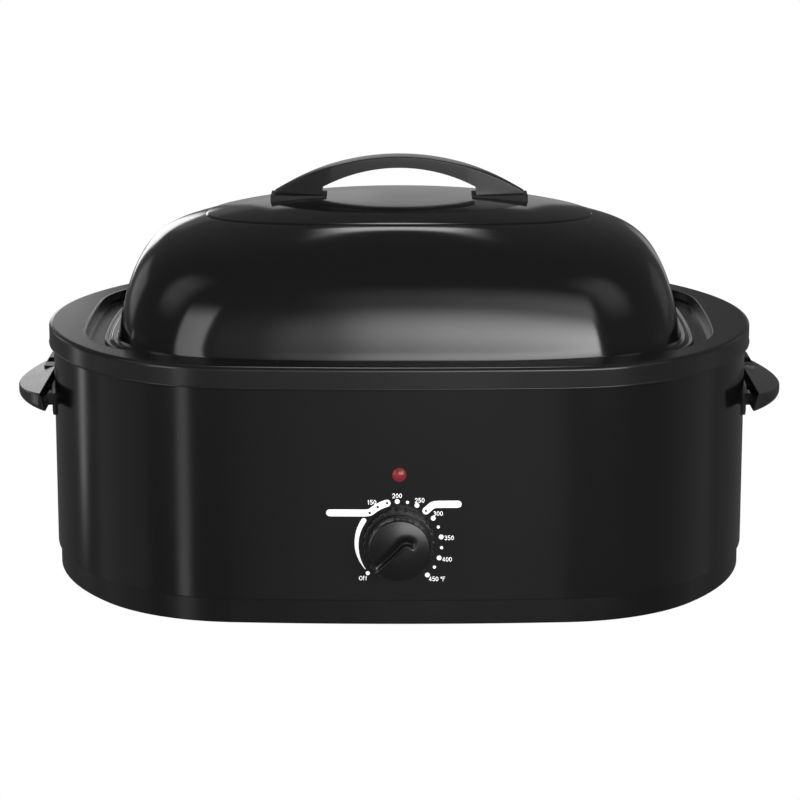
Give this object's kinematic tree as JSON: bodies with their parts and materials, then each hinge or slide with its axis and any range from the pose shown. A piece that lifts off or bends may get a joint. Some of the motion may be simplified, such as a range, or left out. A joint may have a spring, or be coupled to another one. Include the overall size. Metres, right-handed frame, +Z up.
{
  "type": "electric roaster oven",
  "caption": "Oval countertop electric roaster with a lift-off domed lid, lift-out pan and rack, side handles and a turning thermostat knob.",
  "frame": {"origin": "centre of the whole oven's bounding rectangle on the counter surface, 11 mm in front of the centre of the oval body", "axes": "+X along the length to the right handle, -Y towards the control panel, +Z up"},
  "size_m": [0.5884, 0.43, 0.3154],
  "materials": {
    "wall_enamel": "semi-gloss black coated steel",
    "rim_plastic": "satin black heat-proof moulding",
    "base_plastic": "satin black moulding",
    "galvanised_steel": "dull zinc-coated sheet",
    "foot_rubber": "matte",
    "zinc_fasteners": "bright zinc plate",
    "well_steel": "aluminised sheet",
    "glass_wool": "compressed glass wool",
    "element_sheath": "heat-darkened sheath",
    "terminal_steel": "plain",
    "steatite": "unglazed",
    "probe_brass": "plain",
    "knob_plastic": "satin black moulding",
    "lens_red": "polished translucent red",
    "lamp_glass": "clear",
    "gland_nylon": "satin",
    "wire_jacket": "braided heat-proof sleeve",
    "handle_plastic": "gloss black heat-proof moulding",
    "pan_enamel": "glossy speckled black enamel",
    "rack_chrome": "bright plate",
    "lid_enamel": "glossy black enamel",
    "gasket_rubber": "matte silicone",
    "dial_print": "white screen print"
  },
  "bodies": {
    "root": {"base_screws": "zinc_fasteners", "base_skirt": "base_plastic", "bottom_heat_shield": "galvanised_steel", "bottom_insulation": "glass_wool", "bottom_plate": "galvanised_steel", "control_heat_shield": "galvanised_steel", "cord_gland": "gland_nylon", "element_clips": "galvanised_steel", "element_links": "terminal_steel", "element_terminals": "terminal_steel", "foot_front_left": "foot_rubber", "foot_front_right": "foot_rubber", "foot_rear_left": "foot_rubber", "foot_rear_right": "foot_rubber", "heating_element_lower": "element_sheath", "heating_element_upper": "element_sheath", "housing_wall": "wall_enamel", "indicator_lamp": "lamp_glass", "indicator_lens": "lens_red", "inner_liner": "well_steel", "lamp_retainer": "galvanised_steel", "liner_nut": "zinc_fasteners", "liner_stud": "zinc_fasteners", "liner_washer": "zinc_fasteners", "rear_panel": "wall_enamel", "rim_ring": "rim_plastic", "rim_screws": "zinc_fasteners", "side_handle_left": "handle_plastic", "side_handle_right": "handle_plastic", "side_handle_screws": "zinc_fasteners", "side_insulation": "glass_wool", "terminal_block": "steatite", "thermostat_body": "steatite", "thermostat_probe": "probe_brass", "thermostat_screws": "zinc_fasteners", "wire_element": "wire_jacket", "wire_live": "wire_jacket", "wire_neutral": "wire_jacket"},
    "pan": {"roasting_pan": "pan_enamel"},
    "rack": {"rack_grid": "rack_chrome", "rack_handles": "rack_chrome"},
    "lid": {"lid_shell": "lid_enamel", "lid_handle": "handle_plastic", "lid_handle_gaskets": "gasket_rubber", "lid_handle_screws": "zinc_fasteners", "lid_handle_washers": "zinc_fasteners"},
    "knob": {"control_knob": "knob_plastic", "thermostat_shaft": "terminal_steel", "knob_spring_clip": "galvanised_steel"}
  },
  "joints": [
    {"name": "pan_lift", "type": "slide", "parent": "root", "child": "pan", "axis": [0, 0, 1], "range_m": [0, 0.18]},
    {"name": "rack_lift", "type": "slide", "parent": "pan", "child": "rack", "axis": [0, 0, 1], "range_m": [0, 0.16]},
    {"name": "lid_lift", "type": "slide", "parent": "rack", "child": "lid", "axis": [0, 0, 1], "range_m": [0, 0.15]},
    {"name": "knob_turn", "type": "hinge", "parent": "root", "child": "knob", "pos_m": [0, -0.1905, 0.0625], "axis": [0, 1, 0], "range_deg": [0, 274]}
  ]
}
